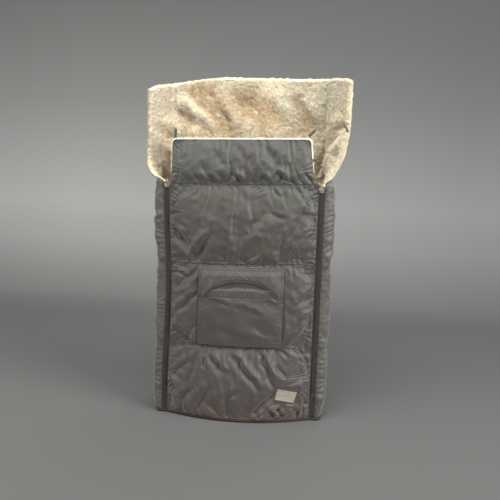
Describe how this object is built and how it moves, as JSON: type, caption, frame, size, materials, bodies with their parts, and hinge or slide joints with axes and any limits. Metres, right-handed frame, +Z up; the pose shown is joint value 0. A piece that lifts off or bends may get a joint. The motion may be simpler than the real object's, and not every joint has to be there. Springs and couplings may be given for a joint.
{
  "type": "stroller footmuff",
  "caption": "Quilted sack for a child's legs in a pushchair, with a fleece lining and headboard, a zipped front cover with a patch pocket, and harness slots in the back.",
  "frame": {"origin": "on the floor under the middle of the bounding box", "axes": "+Z up the sack from the foot to the headboard, -Y out of the front cover, +X to the viewer's right"},
  "size_m": [0.5422, 0.2077, 0.9251],
  "materials": {
    "shell": "olive-grey woven nylon with a soft sheen",
    "fleece": "cream long-pile fleece",
    "zip_tape": "smooth coated tape",
    "zip_chain": "satin coil",
    "slider": "satin gunmetal",
    "sole": "black coated fabric",
    "ribbon": "dark grey woven ribbon",
    "label": "unprinted cream satin"
  },
  "bodies": {
    "sack": {"back_shell": "shell", "back_lining": "fleece", "left_side_shell": "shell", "right_side_shell": "shell", "left_side_lining": "fleece", "right_side_lining": "fleece", "sole_panel": "sole", "sole_lining": "fleece", "sole_piping": "sole", "toe_shell": "shell", "toe_lining": "fleece", "woven_label": "label", "left_zip_side_tape": "zip_tape", "right_zip_side_tape": "zip_tape", "left_zip_toe_tape": "zip_tape", "right_zip_toe_tape": "zip_tape", "left_zip_side_chain": "zip_chain", "right_zip_side_chain": "zip_chain", "left_zip_toe_chain": "zip_chain", "right_zip_toe_chain": "zip_chain", "left_zip_top_stop": "slider", "right_zip_top_stop": "slider", "left_zip_bottom_stop": "slider", "right_zip_bottom_stop": "slider", "left_shoulder_slot_binding": "ribbon", "right_shoulder_slot_binding": "ribbon", "crotch_slot_binding": "ribbon"},
    "front_cover": {"cover_fold_shell": "shell", "cover_fold_lining": "fleece", "lower_shell": "shell", "middle_shell": "shell", "upper_shell": "shell", "cover_lining": "fleece", "left_zip_cover_tape": "zip_tape", "right_zip_cover_tape": "zip_tape", "left_zip_cover_chain": "zip_chain", "right_zip_cover_chain": "zip_chain", "pocket_bag": "shell", "pocket_hem": "shell", "pocket_facing": "shell"},
    "front_flap": {"flap_shell": "shell", "flap_lining": "fleece", "left_flap_loop": "ribbon", "right_flap_loop": "ribbon", "right_flap_side_loop": "ribbon"},
    "headboard": {"hood_shell": "shell", "hood_lining": "fleece", "left_hood_loop": "ribbon", "right_hood_loop": "ribbon"},
    "left_slider": {"left_zip_slider": "slider"},
    "right_slider": {"right_zip_slider": "slider"},
    "left_pull": {"left_zip_pull": "slider"},
    "right_pull": {"right_zip_pull": "slider"}
  },
  "joints": [
    {"name": "cover_fold", "type": "hinge", "parent": "sack", "child": "front_cover", "pos_m": [0, -0.104, 0.1325], "axis": [1, 0, 0], "range_deg": [0, 95]},
    {"name": "flap_fold", "type": "hinge", "parent": "front_cover", "child": "front_flap", "pos_m": [0, -0.0697, 0.648], "axis": [1, 0, 0], "range_deg": [0, 165]},
    {"name": "headboard_fold", "type": "hinge", "parent": "sack", "child": "headboard", "pos_m": [0, 0.0953, 0.77], "axis": [-1, 0, 0], "range_deg": [0, 80]},
    {"name": "left_zip_slide", "type": "slide", "parent": "sack", "child": "left_slider", "axis": [0, 0, 1], "range_m": [-0.536, 0]},
    {"name": "left_pull_hinge", "type": "hinge", "parent": "left_slider", "child": "left_pull", "pos_m": [-0.205, -0.0554, 0.6392], "axis": [1, 0, 0], "range_deg": [0, 170]},
    {"name": "right_zip_slide", "type": "slide", "parent": "sack", "child": "right_slider", "axis": [0, 0, 1], "range_m": [-0.536, 0]},
    {"name": "right_pull_hinge", "type": "hinge", "parent": "right_slider", "child": "right_pull", "pos_m": [0.205, -0.0554, 0.6392], "axis": [1, 0, 0], "range_deg": [0, 170]}
  ],
  "couplings": [
    {"joint": "left_zip_slide", "follows": "cover_fold", "m_per_rad": -0.32315},
    {"joint": "right_zip_slide", "follows": "cover_fold", "m_per_rad": -0.32315}
  ]
}
